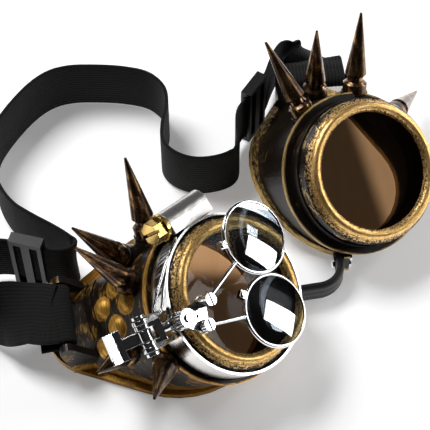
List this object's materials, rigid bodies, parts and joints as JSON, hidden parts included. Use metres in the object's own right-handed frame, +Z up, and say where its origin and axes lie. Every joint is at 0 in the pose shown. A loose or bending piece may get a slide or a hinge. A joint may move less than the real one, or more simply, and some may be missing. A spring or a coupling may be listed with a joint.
{
  "type": "spiked steampunk goggles",
  "caption": "Goggles with spiked eyecups on a soft nose bridge, screw-on lens rings, an elastic headband with slide buckles, and a hose clamp that carries swing-out loupes.",
  "frame": {"origin": "on the table under the middle of the goggles as they lie", "axes": "+Z up off the table, +X to the viewer's right, +Y away from the viewer"},
  "size_m": [0.1847, 0.1911, 0.0701],
  "materials": {
    "cup_plastic": "black moulded plastic dry-brushed with copper and gold paint",
    "ring_plastic": "gold dry-brushed bead over black",
    "spike_plastic": "dark copper with gold streaks",
    "tinted_lens": "brown tint, smooth",
    "gasket_rubber": "matte",
    "steel": "polished steel",
    "band_steel": "satin steel",
    "brass": "polished",
    "loupe_glass": "clear, reflective",
    "bridge_rubber": "matte black",
    "elastic": "matte black ribbed elastic",
    "buckle_plastic": "satin black"
  },
  "bodies": {
    "left_cup": {"left_cup": "cup_plastic", "left_lens": "tinted_lens", "left_gasket": "gasket_rubber", "left_spikes": "spike_plastic", "clamp_band": "band_steel", "clamp_housing": "band_steel", "clip_base": "steel", "clip_pin": "steel", "spring_wire": "steel", "nose_bridge": "bridge_rubber", "left_rivets": "steel", "strap_left_end": "elastic", "strap_long": "elastic"},
    "left_ring": {"left_ring": "ring_plastic"},
    "clamp_screw": {"clamp_screw": "brass"},
    "clip_lever": {"clip_lever": "steel"},
    "arm": {"arm_shaft": "steel"},
    "hub": {"arm_hub": "steel"},
    "thumb_nut": {"thumb_nut": "steel"},
    "upper_loupe": {"upper_loupe_frame": "steel", "upper_loupe_glass": "loupe_glass", "upper_loupe_screw": "steel"},
    "lower_loupe": {"lower_loupe_frame": "steel", "lower_loupe_glass": "loupe_glass", "lower_loupe_screw": "steel"},
    "right_cup": {"right_cup": "cup_plastic", "right_lens": "tinted_lens", "right_gasket": "gasket_rubber", "right_spikes": "spike_plastic", "right_rivets": "steel", "strap_right_end": "elastic"},
    "right_ring": {"right_ring": "ring_plastic"},
    "left_buckle": {"left_buckle": "buckle_plastic"},
    "right_buckle": {"right_buckle": "buckle_plastic"}
  },
  "joints": [
    {"name": "bridge_swing", "type": "hinge", "parent": "left_cup", "child": "right_cup", "pos_m": [0.05289, -0.02396, 0.006], "axis": [0, 0, 1], "range_deg": [-25, 8], "deforming": ["nose_bridge", "strap_long"]},
    {"name": "left_ring_turn", "type": "hinge", "parent": "left_cup", "child": "left_ring", "pos_m": [0.01538, -0.04806, 0.0396], "axis": [0.5536, -0.2465, 0.7955], "continuous": true},
    {"name": "right_ring_turn", "type": "hinge", "parent": "right_cup", "child": "right_ring", "pos_m": [0.06756, 0.00611, 0.0396], "axis": [0.3814, -0.4709, 0.7955], "continuous": true},
    {"name": "clamp_screw_turn", "type": "hinge", "parent": "left_cup", "child": "clamp_screw", "pos_m": [-0.0069, -0.02287, 0.05185], "axis": [-0.6645, -0.7065, 0.2436], "continuous": true},
    {"name": "clip_lever_press", "type": "hinge", "parent": "left_cup", "child": "clip_lever", "pos_m": [-0.01861, -0.07346, 0.05162], "axis": [0.3918, -0.7658, -0.5099], "range_deg": [0, 18], "stiffness_Nm_per_rad": 0.02, "springref_deg": -20.05},
    {"name": "arm_tilt", "type": "hinge", "parent": "left_cup", "child": "arm", "pos_m": [-0.01861, -0.07346, 0.05162], "axis": [0.3918, -0.7658, -0.5099], "range_deg": [0, 75]},
    {"name": "hub_swivel", "type": "hinge", "parent": "arm", "child": "hub", "pos_m": [-0.00721, -0.0684, 0.05279], "axis": [0.5536, -0.2465, 0.7955], "range_deg": [-30, 20]},
    {"name": "thumb_nut_turn", "type": "hinge", "parent": "arm", "child": "thumb_nut", "pos_m": [-0.00444, -0.06964, 0.05677], "axis": [0.5536, -0.2465, 0.7955], "continuous": true},
    {"name": "upper_loupe_swing", "type": "hinge", "parent": "hub", "child": "upper_loupe", "pos_m": [0.00292, -0.06146, 0.05544], "axis": [0.5536, -0.2465, 0.7955], "range_deg": [-10, 60]},
    {"name": "lower_loupe_swing", "type": "hinge", "parent": "hub", "child": "lower_loupe", "pos_m": [0.00256, -0.06833, 0.04979], "axis": [0.5536, -0.2465, 0.7955], "range_deg": [-60, 10]},
    {"name": "left_buckle_slide", "type": "slide", "parent": "left_cup", "child": "left_buckle", "axis": [0.9703, -0.2419, 0], "range_m": [-0.003, 0.003]},
    {"name": "right_buckle_slide", "type": "slide", "parent": "right_cup", "child": "right_buckle", "axis": [0.5299, 0.848, 0], "range_m": [-0.003, 0.003]}
  ]
}
